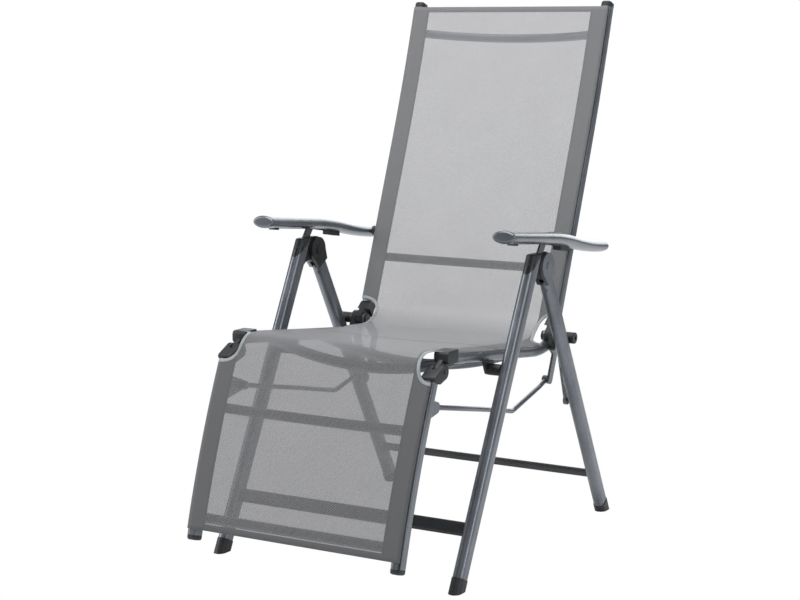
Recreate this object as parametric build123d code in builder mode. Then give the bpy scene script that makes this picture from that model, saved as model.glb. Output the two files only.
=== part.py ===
"""Reclining garden armchair: folding leg frame, stretched mesh seat, linked leg rest and notched armrests.

Millimetres, +Z up, the sitter faces -Y and has +X on the left. Side-view points are (rearward, up) pairs
measured on the floor from the middle between the front and the rear feet.
"""

import os
from math import radians, sqrt, tan

from build123d import *

# Stance: both legs cross the seat and meet in a pivot under each armrest.
feet_middle = 46.05  # rearward shift that puts the chair's own middle over the origin
feet_half_span = 352.3
leg_pivot_y = 6.435
leg_pivot_height = 588.1
front_leg_before_pivot = 56.49
legs_x = 272

# Leg tubes are flat-sided ovals, standing in plastic feet.
leg_width = 24
leg_depth = 36
leg_wall = 1.5
foot_height = 26
foot_floor = 6
foot_skin = 1.2

# Top of the front leg: slanting tube end, plastic head with a lobe that carries the leg pivot.
# Rises and drops are measured from the leg pivot.
slant_front_rise = 6.9
slant_rear_rise = 25.9
lobe_radius = 28.5
lobe_thickness = 10
lobe_web_angle = 225
lobe_web_foot_drop = 43.1
lobe_web_sag = 10
head_plug_drop = 50.1
head_rounding = 5

# Top of the rear leg: two round cheeks that hold the lobe between them.
cheek_radius = 27
cheek_proud = 1
cheek_gap = 0.3
fork_reach = 36
fork_plug = 30
fork_clearance = 1.8
rivet_radius = 5
rivet_head_radius = 8
rivet_head = 1.6

# Cross bars between the legs, flat ovals.
front_bar_height = 109
front_bar_tall = 28
front_bar_deep = 12
rear_bar_height = 95
rear_bar_tall = 20
rear_bar_deep = 11.6
bar_wall = 1.5

# Seat frame: two bent side tubes joined by two dipping cross tubes.
seat_tube_x = 229
seat_tube_radius = 12
seat_tube_wall = 1.5
seat_tube_front = (-301, 442.7)
seat_tube_bend = (56, 402)
seat_tube_end = (113, 403)
seat_cross_radius = 11
seat_cross_dip = 45
seat_cross_back = 16.5
seat_cross_front_y = -240
seat_cross_rear_y = -41

# Fold pivot: bracket under the seat tube with a spacer out to the front leg.
fold_pivot_height = 397
fold_eye_radius = 11
fold_plate = 6
fold_plate_length = 44
fold_spacer_radius = 11.5
fold_pin_radius = 5
fold_pin_head = 8

# Seat hinge: the stub rests behind the rear leg, everything at the back of the seat turns on it.
hinge_height = 422.444
stub_radius = 12
stub_rest_gap = 0.3
stub_end_x = 289
stub_dimple = 4
neck_radius = 8
hinge_pin_radius = 6
hinge_disc_radius = 10.5
hinge_disc = 5.5
hinge_head_radius = 18
seat_plate = 11.7
hinge_plate = 11.3
plate_gap = 0.3
sweep_radius = 22.5
seat_collar = 8
seat_nose_radius = 9
seat_rear_plug = 12
seat_rear_plug_play = 0.6
stub_rim = 1
link_play = 0.5

# Folding link between the seat hinge and the rear leg.
link_reach = 149.7
link_thickness = 5
link_width = 20
link_eye_radius = 13
link_knob_radius = 10
link_knob = 2.5

# Backrest: rails with a fabric slot, straight below and bent back above.
rail_x = 229
rail_width = 24
rail_depth = 28
rail_corner = 9
rail_wall = 1.6
slot_width = 2.6
slot_pocket_radius = 2.2
slot_depth = 4.5
slot_from_middle = 8
slot_boss = 9
back_rail_foot = (166, 455)
back_rail_lean = 21.06
back_rail_straight = 372.9
back_rail_top = (401.7, 1102.6)
back_cap_height = 12
rail_plug_length = 20
cap_rounding = 5
back_cross_radius = 9.5
back_cross_low_along = 108
back_cross_low_bow = 3
back_cross_top_along = 631
back_cross_top_bow = 35

# Lever below the seat hinge that pushes the two rods.
lever_thickness = 5
lever_width = 19
lever_eye_radius = 12
lever_kink = (185, 380)
lever_pin = (161.7, 324)
lever_pin_radius = 4
lever_pin_head = 7

# Rods from the levers to the leg rest.
rod_x = 214
rod_radius = 5
rod_eye_radius = 9
rod_bend_radius = 18
rod_low_bend = (128, 313.5)
rod_lowest = (-1.8, 284)
rod_rise = (-142, 313)
rod_front = (-350, 354)
rod_end_head = 2

# Knee: leg rest heads turn on tongues of the seat's front heads.
knee = (-355.5, 424.5)
tongue_width = 9.4
tongue_radius = 12
knee_cheek_radius = 14
knee_lane_radius = 18
knee_cheek = 10
knee_pin_radius = 4.5
knee_body_front = -345
knee_body_back = -303
knee_body_top = 461
knee_body_bottom = 436
knee_body_width = 30
knee_body_rounding = 8
tongue_root_radius = 9.5
seat_plug_root = 5
seat_plug = 26

# Leg rest: rails that curve down from the knee.
rest_rail_before_knee = 20
rest_rail_below_knee = 26.3
rest_rail_lean = 24.5
rest_rail_foot = (-504.5, 79)
rest_cap_height = 10
rest_cross_radius = 10
rest_cross_top_along = 255
rest_cross_top_bow = 12
rest_cross_low_along = 36
rest_cross_low_bow = 2
bracket_thickness = 5
bracket_eye_radius = 11
bracket_top_along = 322
bracket_low_along = 276

# Armrests: oval tubes hinged to the backrest and carried on a pin by notched inserts. Their middle line is
# given as (rearward, rise over the line from the pin to the arm's pivot), the props over the leg heads.
arm_x = 276
arm_width = 50
arm_tall = 26
arm_wall = 1.6
arm_front = (-178, 2.988)
arm_crown = (0, 7.788)
arm_sag = (120, 3.617)
arm_rear = (279, -1.001)
arm_cap_length = 8
arm_cap_rounding = 6
arm_rear_rounding = 4
arm_rear_wall_share = 0.006
arm_pivot_rise = 21.9
bush_radius = 11
axle_radius = 5
axle_reach = 6
prop_thickness = 4
prop_base_front = -32
prop_base_back = -6
prop_pin = (-4, 21.4)
prop_pin_radius = 3.5
prop_pin_length = 13
prop_top = [(8, 17.4), (2, 22.4), (-10, 23.4), (-18, 17.4)]
rack_width = 17.6
rack_wall = 1.8
rack_front = -149
rack_channel_front = -137
rack_channel_back = 63
rack_rear = 105
rack_front_nub = 3
rack_rear_nub = 8
rack_web = 6
notch_radius = 4
notch_pitch = 14
rack_notches_before = 8
rack_notches_behind = 4

# Fabric: one mesh sheet over backrest, seat and leg rest, cut out round the hinges.
fabric_half_width = 239
fabric_thickness = 2
fabric_gap = 0.05
fabric_top_height = 1097
fabric_bottom_height = 84
cut_out_x = 205
cut_out_seat = 64
cut_out_rest = 53
cut_out_hinge = 48
cut_out_back = 58
knee_wrap = 95
seat_sheet_start = 98
seat_sheet_slope = -5.1
sheet_gap = 0.5
seat_sheet_bend_y = 95
seat_sheet_end = (142, 455)
seat_hem_width = 3

# Fits.
running_fit = 0.05
press_fit = 0.05
face_gap = 0.3
overrun = 60


def side(x):
    """Upright side-view plane at x: local x runs rearward, local y runs up."""
    return Plane(origin=(x, feet_middle, 0), x_dir=(0, 1, 0), z_dir=(1, 0, 0))


def space(x, point):
    """Side-view point at a given x as a point in space."""
    return Vector(x, feet_middle + point.X, point.Y)


def heading(angle, distance=1):
    """Side-view step in a direction measured from rearward, upwards positive."""
    return Vector(distance, 0).rotate(Axis.Z, angle)


def bearing(step):
    """Direction of a side-view step, measured from rearward, upwards positive."""
    return Vector(1, 0).get_signed_angle(step, Vector(0, 0, 1))


def course(angle):
    """Side-view direction as a direction in space."""
    step = heading(angle)
    return Vector(0, step.X, step.Y)


def across(x, point, angle):
    """Plane square to a side-view direction, with local x kept sideways."""
    return Plane(origin=space(x, point), x_dir=(1, 0, 0), z_dir=course(angle))


def write(piece, name):
    """Write one piece."""
    piece.part.label = name
    export_step(piece.part, "parts/" + name + ".step")


def write_pair(left, name):
    """Write a left piece and its mirror image for the right side."""
    with BuildPart() as right:
        mirror(left.part, about=Plane.YZ)
    write(left, name + "_left")
    write(right, name + "_right")


def round_bar(start_x, end_x, point, radius, mode=Mode.ADD):
    """Round bar or bore along x in the part being built."""
    with BuildSketch(side(start_x)) as disc:
        with Locations((point.X, point.Y)):
            Circle(radius)
    extrude(disc.sketch, amount=end_x - start_x, mode=mode)


def round_run(x, start, end, radius, mode=Mode.ADD):
    """Round bar or bore between two side-view points in the part being built."""
    run = end - start
    with BuildSketch(across(x, start, bearing(run))) as disc:
        Circle(radius)
    extrude(disc.sketch, amount=run.length, mode=mode)


def strap(start_x, end_x, discs, mode=Mode.ADD):
    """Plate with the outline of a belt round the given discs, in the part being built."""
    with BuildSketch(side(start_x)) as outline:
        for point, radius in discs:
            with Locations((point.X, point.Y)):
                Circle(radius)
        make_hull()
    extrude(outline.sketch, amount=end_x - start_x, mode=mode)


def plate(start_x, end_x, corners, mode=Mode.ADD):
    """Plate with straight edges between side-view corners, in the part being built."""
    with BuildSketch(side(start_x)) as outline:
        Polygon(*[(corner.X, corner.Y) for corner in corners], align=None)
    extrude(outline.sketch, amount=end_x - start_x, mode=mode)


# Places that several pieces share.
front_foot = Vector(-feet_half_span, 0)
rear_foot = Vector(feet_half_span, 0)
leg_pivot = Vector(leg_pivot_y, leg_pivot_height)
front_up = (leg_pivot - Vector(front_leg_before_pivot, 0) - front_foot).normalized()
rear_up = (leg_pivot - rear_foot).normalized()
front_leg_angle = bearing(front_up)
rear_leg_angle = bearing(rear_up)
behind_front_leg = front_up.rotate(Axis.Z, -90)
behind_rear_leg = rear_up.rotate(Axis.Z, -90)


def on_front_leg(height):
    """Point of the front leg's middle line at a height."""
    return front_foot + front_up * (height / front_up.Y)


def on_rear_leg(height):
    """Point of the rear leg's middle line at a height."""
    return rear_foot + rear_up * (height / rear_up.Y)


rear_leg_length = (leg_pivot - rear_foot).length
fold_pivot = on_front_leg(fold_pivot_height)
hinge_setback = behind_rear_leg * (leg_depth / 2 + stub_radius + stub_rest_gap)
hinge = on_rear_leg(hinge_height - hinge_setback.Y) + hinge_setback
link_foot = hinge - hinge_setback - rear_up * link_reach
leg_inner_x = legs_x - leg_width / 2
leg_outer_x = legs_x + leg_width / 2
rail_inner_x = rail_x - rail_width / 2
rail_outer_x = rail_x + rail_width / 2
head_top = leg_pivot_height + lobe_radius

back_angle = 90 - back_rail_lean
back_foot = Vector(*back_rail_foot)
back_bend = back_foot + heading(back_angle, back_rail_straight)
back_top = Vector(*back_rail_top)
back_front = heading(back_angle + 90)
arm_pivot_reach = (leg_pivot_height + arm_pivot_rise - back_foot.Y) / heading(back_angle).Y
arm_pivot = back_foot + heading(back_angle, arm_pivot_reach)

knee_point = Vector(*knee)
rest_angle = 90 - rest_rail_lean
rest_front = heading(rest_angle + 90)
rest_top = knee_point + rest_front * rest_rail_before_knee - heading(rest_angle, rest_rail_below_knee)
rest_foot = Vector(*rest_rail_foot)
rest_chord = rest_top - rest_foot
rest_half_turn = heading(rest_angle).get_signed_angle(rest_chord, Vector(0, 0, 1))
rest_bow = rest_chord.length / 2 * tan(radians(rest_half_turn) / 2)
rest_bulge = (rest_top + rest_foot) / 2 + rest_chord.normalized().rotate(Axis.Z, 90) * rest_bow
rod_front_point = Vector(*rod_front)
lever_pin_point = Vector(*lever_pin)
prop_point = Vector(*prop_pin) + Vector(0, head_top)

# Sideways lanes at the seat hinge, from the inside outwards.
hinge_disc_x = rod_x
lever_x = hinge_disc_x + hinge_disc
hinge_plate_x = lever_x + lever_thickness + plate_gap
seat_plate_x = hinge_plate_x + hinge_plate + plate_gap
neck_x = seat_plate_x + seat_plate
link_x = neck_x + link_play
stub_x = link_x + link_thickness + link_play


# Legs


def leg_prism(foot, angle, start, end, inset=0):
    """Solid oval bar along a leg between two distances from its foot."""
    with BuildPart() as prism:
        with BuildSketch(across(legs_x, foot + heading(angle, start), angle)):
            SlotOverall(leg_depth - 2 * inset, leg_width - 2 * inset, rotation=90)
        extrude(amount=end - start)
    return prism.part


def leg_foot(foot, angle):
    """Plastic foot: a cup cut level with the floor that the leg tube stands in."""
    with BuildPart() as core:
        add(leg_prism(foot, angle, -overrun, 2 * overrun, -press_fit))
        split(bisect_by=Plane.XY.offset(foot_floor - press_fit), keep=Keep.TOP)
    with BuildPart() as cup:
        add(leg_prism(foot, angle, -overrun, foot_height, -foot_skin))
        split(bisect_by=Plane.XY, keep=Keep.TOP)
        add(core.part, mode=Mode.SUBTRACT)
    return cup


def leg_cross_bar(point, angle, tall, deep):
    """Flat oval bar between the inner faces of two legs, its long side along them."""
    with BuildPart() as cross_bar:
        with BuildSketch(side(-leg_inner_x)):
            with Locations((point.X, point.Y)):
                SlotOverall(tall, deep, rotation=angle)
                SlotOverall(tall - 2 * bar_wall, deep - 2 * bar_wall, rotation=angle, mode=Mode.SUBTRACT)
        extrude(amount=2 * leg_inner_x)
    return cross_bar


# The slanting cut at the top of the front leg.
half_depth = behind_front_leg * (leg_depth / 2)
slant_front = on_front_leg(leg_pivot_height + slant_front_rise + half_depth.Y) - half_depth
slant_rear = on_front_leg(leg_pivot_height + slant_rear_rise - half_depth.Y) + half_depth
slant_up = (slant_rear - slant_front).normalized().rotate(Axis.Z, 90)
slant = Plane(origin=space(0, slant_front), x_dir=(1, 0, 0), z_dir=(0, slant_up.X, slant_up.Y))
web_foot = on_front_leg(leg_pivot_height - lobe_web_foot_drop)
front_leg_length = (head_top + leg_depth) / front_up.Y

with BuildPart() as front_leg_tube:
    add(leg_prism(front_foot, front_leg_angle, -overrun, front_leg_length))
    add(leg_prism(front_foot, front_leg_angle, -overrun, front_leg_length, leg_wall), mode=Mode.SUBTRACT)
    split(bisect_by=Plane.XY.offset(foot_floor), keep=Keep.TOP)
    split(bisect_by=slant, keep=Keep.BOTTOM)
    # Slot in the rear wall for the lobe's web.
    web_slot = [
        web_foot - front_up * face_gap,
        web_foot - front_up * face_gap + behind_front_leg * leg_depth,
        web_foot + front_up * 2 * overrun + behind_front_leg * leg_depth,
        web_foot + front_up * 2 * overrun,
    ]
    slot_half = lobe_thickness / 2 + press_fit
    plate(legs_x - slot_half, legs_x + slot_half, web_slot, mode=Mode.SUBTRACT)
    round_bar(leg_inner_x - leg_wall, legs_x, fold_pivot, fold_pin_radius + running_fit, mode=Mode.SUBTRACT)

with BuildPart() as front_leg_head:
    add(leg_prism(front_foot, front_leg_angle, front_leg_length / 2, front_leg_length))
    split(bisect_by=slant, keep=Keep.TOP)
    split(bisect_by=Plane.XY.offset(head_top), keep=Keep.BOTTOM)
    fillet(front_leg_head.faces().sort_by(Axis.Z)[-1].edges().sort_by(Axis.Y)[0], head_rounding)
    add(
        leg_prism(
            front_foot,
            front_leg_angle,
            (leg_pivot_height - head_plug_drop) / front_up.Y,
            (leg_pivot_height + slant_front_rise) / front_up.Y,
            leg_wall + press_fit,
        )
    )
    web_start = leg_pivot + heading(lobe_web_angle, lobe_radius)
    web_end = web_foot + behind_front_leg * (leg_depth / 2)
    web_step = (web_end - web_start).normalized()
    web_middle = (web_start + web_end) / 2 - web_step.rotate(Axis.Z, 90) * lobe_web_sag
    with BuildSketch(side(legs_x - lobe_thickness / 2)):
        with BuildLine():
            Line((on_front_leg(head_top).X, head_top), (leg_pivot.X, head_top))
            Line((leg_pivot.X, head_top), (leg_pivot.X, leg_pivot.Y))
            Line((leg_pivot.X, leg_pivot.Y), (web_start.X, web_start.Y))
            ThreePointArc((web_start.X, web_start.Y), (web_middle.X, web_middle.Y), (web_end.X, web_end.Y))
            Line((web_end.X, web_end.Y), (web_foot.X, web_foot.Y))
            Line((web_foot.X, web_foot.Y), (on_front_leg(head_top).X, head_top))
        make_face()
        with Locations((leg_pivot.X, leg_pivot.Y)):
            Circle(lobe_radius)
    extrude(amount=lobe_thickness)
    round_bar(
        legs_x - leg_width,
        legs_x + leg_width,
        leg_pivot,
        rivet_radius + running_fit,
        mode=Mode.SUBTRACT,
    )

with BuildPart() as rear_leg_tube:
    add(leg_prism(rear_foot, rear_leg_angle, -overrun, rear_leg_length - fork_reach))
    add(
        leg_prism(rear_foot, rear_leg_angle, -overrun, rear_leg_length - fork_reach, leg_wall),
        mode=Mode.SUBTRACT,
    )
    split(bisect_by=Plane.XY.offset(foot_floor), keep=Keep.TOP)

with BuildPart() as rear_leg_fork:
    cheek_foot = leg_pivot - rear_up * fork_reach
    cheek_corners = [
        leg_pivot - behind_rear_leg * cheek_radius,
        leg_pivot + behind_rear_leg * cheek_radius,
        cheek_foot + behind_rear_leg * (leg_depth / 2),
        cheek_foot - behind_rear_leg * (leg_depth / 2),
    ]
    cheek_lanes = (
        (leg_inner_x - cheek_proud, legs_x - lobe_thickness / 2 - cheek_gap),
        (legs_x + lobe_thickness / 2 + cheek_gap, leg_outer_x + cheek_proud),
    )
    for lane_start, lane_end in cheek_lanes:
        round_bar(lane_start, lane_end, leg_pivot, cheek_radius)
        plate(lane_start, lane_end, cheek_corners)
    add(
        leg_prism(
            rear_foot,
            rear_leg_angle,
            rear_leg_length - fork_reach,
            rear_leg_length - lobe_radius - fork_clearance,
        )
    )
    add(
        leg_prism(
            rear_foot,
            rear_leg_angle,
            rear_leg_length - fork_reach - fork_plug,
            rear_leg_length - fork_reach,
            leg_wall + press_fit,
        )
    )
    fork_inner_x = leg_inner_x - cheek_proud
    fork_outer_x = leg_outer_x + cheek_proud
    round_bar(fork_inner_x, fork_outer_x, leg_pivot, rivet_radius)
    round_bar(fork_inner_x - rivet_head, fork_inner_x, leg_pivot, rivet_head_radius)
    round_bar(fork_outer_x, fork_outer_x + rivet_head, leg_pivot, rivet_head_radius)

front_leg_foot = leg_foot(front_foot, front_leg_angle)
rear_leg_foot = leg_foot(rear_foot, rear_leg_angle)
front_cross_bar = leg_cross_bar(
    on_front_leg(front_bar_height), front_leg_angle, front_bar_tall, front_bar_deep
)
rear_cross_bar = leg_cross_bar(on_rear_leg(rear_bar_height), rear_leg_angle, rear_bar_tall, rear_bar_deep)

with BuildPart() as arm_prop:
    plate(
        arm_x - prop_thickness / 2,
        arm_x + prop_thickness / 2,
        [
            Vector(prop_base_front, head_top + press_fit),
            Vector(prop_base_back, head_top + press_fit),
            *[Vector(*corner) + Vector(0, head_top) for corner in prop_top],
        ],
    )
    round_bar(arm_x - prop_pin_length / 2, arm_x + prop_pin_length / 2, prop_point, prop_pin_radius)


# Seat frame


def seat_tube_line():
    """Middle line of a seat side tube."""
    with BuildLine(side(seat_tube_x)) as line:
        straight = Line(seat_tube_front, seat_tube_bend)
        TangentArc(seat_tube_bend, seat_tube_end, tangent=straight % 1)
    return line.wire()


seat_line = seat_tube_line()
seat_direction = Vector(*seat_tube_bend) - Vector(*seat_tube_front)

with BuildPart() as seat_tube:
    with BuildSketch(Plane(origin=seat_line @ 0, z_dir=seat_line % 0)) as seat_tube_ring:
        Circle(seat_tube_radius)
        Circle(seat_tube_radius - seat_tube_wall, mode=Mode.SUBTRACT)
    sweep(seat_tube_ring.sketch, path=seat_line)


def bowed_tube(middle, ends, radius, wall, half_span):
    """Tube from side to side, straight cut at both ends, bowed from its middle to its ends."""
    bow = ends - middle
    bend_radius = (half_span**2 + bow.length**2) / (2 * bow.length)
    reach = half_span + radius
    tip = middle + bow.normalized() * (bend_radius - sqrt(bend_radius**2 - reach**2))
    with BuildPart() as tube:
        with BuildLine() as line:
            ThreePointArc(space(-reach, tip), space(0, middle), space(reach, tip))
        with BuildSketch(Plane(origin=line.line @ 0, z_dir=line.line % 0)) as ring:
            Circle(radius)
            Circle(radius - wall, mode=Mode.SUBTRACT)
        sweep(ring.sketch, path=line.line)
        split(bisect_by=Plane.YZ.offset(half_span), keep=Keep.BOTTOM)
        split(bisect_by=Plane.YZ.offset(-half_span), keep=Keep.TOP)
    return tube


def seat_cross_tube(ends_y):
    """Dipping tube, its ends shaped to the round side tubes."""
    ends = Vector(*seat_tube_front) + seat_direction * (
        (ends_y - seat_tube_front[0]) / seat_direction.X
    )
    middle = ends + Vector(seat_cross_back, -seat_cross_dip)
    bowed = bowed_tube(middle, ends, seat_cross_radius, seat_tube_wall, seat_tube_x)
    with BuildPart() as tube:
        add(bowed.part)
        for x in (-seat_tube_x, seat_tube_x):
            round_run(
                x,
                Vector(*seat_tube_front),
                Vector(*seat_tube_bend),
                seat_tube_radius + press_fit,
                mode=Mode.SUBTRACT,
            )
    return tube


seat_cross_front = seat_cross_tube(seat_cross_front_y)
seat_cross_rear = seat_cross_tube(seat_cross_rear_y)

with BuildPart() as seat_front_head:
    plate(
        seat_tube_x - knee_body_width / 2,
        seat_tube_x + knee_body_width / 2,
        [
            Vector(knee_body_front, knee_body_bottom),
            Vector(knee_body_back, knee_body_bottom),
            Vector(knee_body_back, knee_body_top),
            Vector(knee_body_front, knee_body_top),
        ],
    )
    fillet(
        seat_front_head.edges().filter_by(Axis.X).group_by(Axis.Y)[0],
        knee_body_rounding,
    )
    body_middle = Vector(
        (knee_body_front + knee_body_back) / 2, (knee_body_top + knee_body_bottom) / 2
    )
    strap(
        seat_tube_x - tongue_width / 2,
        seat_tube_x + tongue_width / 2,
        [(knee_point, tongue_radius), (body_middle, tongue_root_radius)],
    )
    round_run(
        seat_tube_x,
        Vector(*seat_tube_front) - seat_direction.normalized() * seat_plug_root,
        Vector(*seat_tube_front) + seat_direction.normalized() * seat_plug,
        seat_tube_radius - seat_tube_wall - press_fit,
    )
    round_bar(
        seat_tube_x - tongue_width,
        seat_tube_x + tongue_width,
        knee_point,
        knee_pin_radius + running_fit,
        mode=Mode.SUBTRACT,
    )

seat_end = Vector(*seat_tube_end)
seat_end_step = Vector((seat_line % 1).Y, (seat_line % 1).Z)

with BuildPart() as seat_rear_head:
    round_run(
        seat_tube_x,
        seat_end - seat_end_step * seat_rear_plug,
        seat_end + seat_end_step * press_fit,
        seat_tube_radius - seat_tube_wall - seat_rear_plug_play,
    )
    round_run(
        seat_tube_x,
        seat_end + seat_end_step * press_fit,
        seat_end + seat_end_step * seat_collar,
        seat_tube_radius,
    )
    plate_nose = seat_end + seat_end_step * (seat_nose_radius + face_gap)
    strap(seat_plate_x, neck_x, [(hinge, hinge_head_radius), (plate_nose, seat_nose_radius)])
    # Pin and cap disc towards the middle of the chair, neck and stub towards the leg.
    round_bar(hinge_disc_x, seat_plate_x, hinge, hinge_pin_radius)
    round_bar(hinge_disc_x, lever_x - face_gap, hinge, hinge_disc_radius)
    round_bar(neck_x, stub_x, hinge, neck_radius)
    round_bar(stub_x, stub_end_x, hinge, stub_radius)
    chamfer(seat_rear_head.faces().sort_by(Axis.X)[-1].edges(), stub_rim)
    round_bar(stub_end_x - stub_dimple, stub_end_x, hinge, stub_dimple, mode=Mode.SUBTRACT)

seat_line_fall = seat_direction.Y / seat_direction.X


def under_seat_tube(y):
    """Point on the underside of a seat side tube."""
    middle = seat_tube_front[1] + (y - seat_tube_front[0]) * seat_line_fall
    return Vector(y, middle - seat_tube_radius * sqrt(1 + seat_line_fall**2) - press_fit)


def over_seat_tube(y):
    """Point on the upper side of a seat side tube."""
    middle = seat_tube_front[1] + (y - seat_tube_front[0]) * seat_line_fall
    return Vector(y, middle + seat_tube_radius * sqrt(1 + seat_line_fall**2) + press_fit)


with BuildPart() as fold_bracket:
    with BuildSketch(side(seat_tube_x - fold_plate / 2)) as bracket_outline:
        with Locations((fold_pivot.X, fold_pivot.Y)):
            Circle(fold_eye_radius)
        plate_front = under_seat_tube(fold_pivot.X - fold_plate_length / 2)
        plate_back = under_seat_tube(fold_pivot.X + fold_plate_length / 2)
        Polygon(
            (plate_front.X, plate_front.Y),
            (plate_back.X, plate_back.Y),
            (fold_pivot.X, fold_pivot.Y),
            align=None,
        )
        make_hull()
    extrude(amount=fold_plate)
    round_bar(seat_tube_x + fold_plate / 2, leg_inner_x - face_gap, fold_pivot, fold_spacer_radius)
    round_bar(leg_inner_x - face_gap, leg_inner_x + 2 * leg_wall, fold_pivot, fold_pin_radius)
    round_bar(
        seat_tube_x - fold_plate / 2 - rivet_head, seat_tube_x - fold_plate / 2, fold_pivot, fold_pin_head
    )


# Folding links


with BuildPart() as folding_link:
    strap(link_x, link_x + link_thickness, [(hinge, link_eye_radius), (link_foot, link_width / 2)])
    round_bar(link_x - link_knob, link_x, link_foot, link_knob_radius)
    round_bar(link_x + link_thickness, leg_inner_x - face_gap, link_foot, rivet_radius)
    round_bar(link_x, link_x + link_thickness, hinge, neck_radius + running_fit, mode=Mode.SUBTRACT)


# Rails with a fabric slot


def rail(line):
    """Hollow rail with a slot for the fabric edge, along a middle line that runs upwards."""
    start = Plane(origin=line @ 0, x_dir=(1, 0, 0), z_dir=line % 0)
    slot_place = (slot_from_middle, -rail_depth / 2 + slot_depth)
    with BuildSketch(start) as outer:
        RectangleRounded(rail_width, rail_depth, rail_corner)
    with BuildSketch(start) as hollow:
        RectangleRounded(rail_width - 2 * rail_wall, rail_depth - 2 * rail_wall, rail_corner - rail_wall)
        with Locations((slot_from_middle, -rail_depth / 2 + slot_boss / 2)):
            Rectangle(slot_boss, slot_boss, mode=Mode.SUBTRACT)
    with BuildSketch(start) as slot:
        with Locations(slot_place):
            Circle(slot_pocket_radius)
            Rectangle(slot_width, 2 * slot_depth, align=(Align.CENTER, Align.MAX))
    with BuildPart() as body:
        sweep(outer.sketch, path=line)
        sweep(hollow.sketch, path=line, mode=Mode.SUBTRACT)
        sweep(slot.sketch, path=line, mode=Mode.SUBTRACT)
    return body


def rail_plug(plane, length):
    """Plug that fills a rail's hollow behind its fabric slot, in the part being built."""
    with BuildSketch(plane) as section:
        with Locations((0, (slot_boss - rail_wall) / 2)):
            RectangleRounded(
                rail_width - 2 * rail_wall - face_gap,
                rail_depth - slot_boss - rail_wall - face_gap,
                rail_corner - rail_wall,
            )
    extrude(section.sketch, amount=length)


def rail_cap(plane, height):
    """Rounded end cap of a rail; the plane looks out of the rail's end."""
    with BuildPart() as cap:
        with BuildSketch(plane):
            RectangleRounded(rail_width, rail_depth, rail_corner)
        extrude(amount=height)
        far_face = cap.faces().sort_by(Axis(plane.origin, plane.z_dir))[-1]
        fillet(far_face.edges(), cap_rounding)
    return cap


def back_line(x):
    """Middle line of the backrest rails, straight below and bent back above."""
    with BuildLine(side(x)) as line:
        straight = Line((back_foot.X, back_foot.Y), (back_bend.X, back_bend.Y))
        TangentArc((back_bend.X, back_bend.Y), (back_top.X, back_top.Y), tangent=straight % 1)
    return line.wire()


def rest_line(x):
    """Middle line of the leg rest rails, from the foot end up to the knee."""
    with BuildLine(side(x)) as line:
        ThreePointArc((rest_foot.X, rest_foot.Y), (rest_bulge.X, rest_bulge.Y), (rest_top.X, rest_top.Y))
    return line.wire()


back_rail_line = back_line(rail_x)
back_rail_body = rail(back_rail_line)
with BuildPart() as back_rail:
    add(back_rail_body.part)
    round_bar(rail_x, rail_outer_x + rail_wall, arm_pivot, axle_radius + running_fit, mode=Mode.SUBTRACT)

back_end = Plane(
    origin=back_rail_line @ 1 + (back_rail_line % 1) * press_fit, x_dir=(1, 0, 0), z_dir=back_rail_line % 1
)
back_cap_shell = rail_cap(back_end, back_cap_height)
with BuildPart() as back_cap:
    add(back_cap_shell.part)
    rail_plug(back_end, -rail_plug_length)


def flat(point):
    """Side-view point of a point in space."""
    return Vector(point.Y - feet_middle, point.Z)


def rail_cross_tube(line, along, bow, radius):
    """Cross tube between two rails at a distance along them, bowed to the back."""
    ends = flat(line.position_at(along, position_mode=PositionMode.LENGTH))
    step = flat(line.tangent_at(along, position_mode=PositionMode.LENGTH)) + Vector(feet_middle, 0)
    middle = ends + step.rotate(Axis.Z, -90) * bow
    return bowed_tube(middle, ends, radius, rail_wall, rail_inner_x)


back_cross_low = rail_cross_tube(back_rail_line, back_cross_low_along, back_cross_low_bow, back_cross_radius)
back_cross_top = rail_cross_tube(back_rail_line, back_cross_top_along, back_cross_top_bow, back_cross_radius)

with BuildPart() as back_head:
    foot_front = back_foot + back_front * (rail_depth / 2 - cap_rounding)
    foot_back = back_foot - back_front * (rail_depth / 2 - cap_rounding)
    back_step = heading(back_angle)
    casting = [
        (hinge, hinge_head_radius),
        (foot_front - back_step * cap_rounding, cap_rounding),
        (foot_back - back_step * cap_rounding, cap_rounding),
    ]
    strap(rail_inner_x, rail_outer_x, casting)
    # Room for the lever on the inside and for the seat's plate on the outside.
    round_bar(rail_inner_x, hinge_plate_x, hinge, sweep_radius, mode=Mode.SUBTRACT)
    round_bar(hinge_plate_x + hinge_plate, rail_outer_x, hinge, sweep_radius, mode=Mode.SUBTRACT)
    plug_foot = across(rail_x, back_foot - back_step * cap_rounding, back_angle)
    rail_plug(plug_foot, cap_rounding + rail_plug_length)
    round_bar(rail_inner_x, rail_outer_x, hinge, hinge_pin_radius + running_fit, mode=Mode.SUBTRACT)

with BuildPart() as lever:
    kink = Vector(*lever_kink)
    strap(lever_x, lever_x + lever_thickness, [(hinge, lever_eye_radius), (kink, lever_width / 2)])
    strap(lever_x, lever_x + lever_thickness, [(kink, lever_width / 2), (lever_pin_point, lever_width / 2)])
    round_bar(lever_x, lever_x + lever_thickness, hinge, hinge_pin_radius + running_fit, mode=Mode.SUBTRACT)
    round_bar(rod_x - rod_radius - 2 * face_gap - rod_end_head, lever_x, lever_pin_point, lever_pin_radius)
    round_bar(
        rod_x - rod_radius - 2 * face_gap - rod_end_head,
        rod_x - rod_radius - 2 * face_gap,
        lever_pin_point,
        lever_pin_head,
    )

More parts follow.
